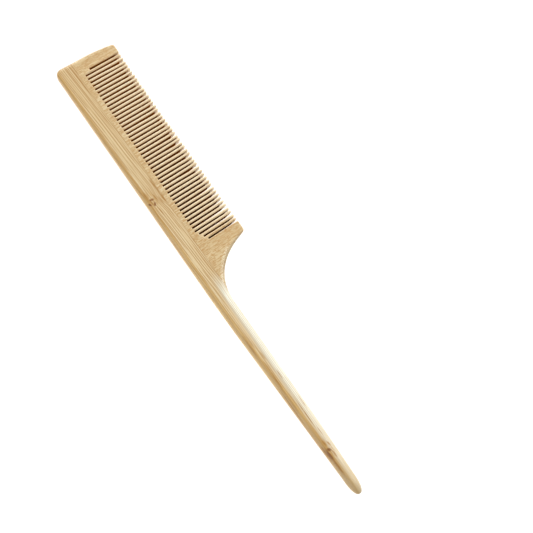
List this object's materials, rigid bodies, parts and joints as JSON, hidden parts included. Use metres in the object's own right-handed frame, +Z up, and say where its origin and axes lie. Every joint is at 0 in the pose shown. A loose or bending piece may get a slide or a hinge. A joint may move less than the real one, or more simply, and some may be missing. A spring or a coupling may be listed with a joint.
{
  "type": "rat-tail comb",
  "caption": "Flat bamboo hair comb with fine teeth along one side of the head and a long slim tail handle for parting hair.",
  "frame": {"origin": "on the surface that the comb lies on, under the centre of its bounding box", "axes": "+X along the comb from the head end to the tip of the tail, +Y from the back to the tooth tips, +Z up through the thickness"},
  "size_m": [0.2266, 0.0296, 0.0055],
  "materials": {
    "bar_bamboo": "satin",
    "stave_bamboo_warm": "satin",
    "stave_bamboo_pale": "satin"
  },
  "bodies": {
    "root": {"spine_and_tail": "bar_bamboo", "tooth_stave_1": "stave_bamboo_warm", "tooth_stave_2": "stave_bamboo_pale", "tooth_stave_3": "stave_bamboo_warm", "tooth_stave_4": "stave_bamboo_pale", "tooth_stave_5": "stave_bamboo_warm"}
  },
  "joints": []
}
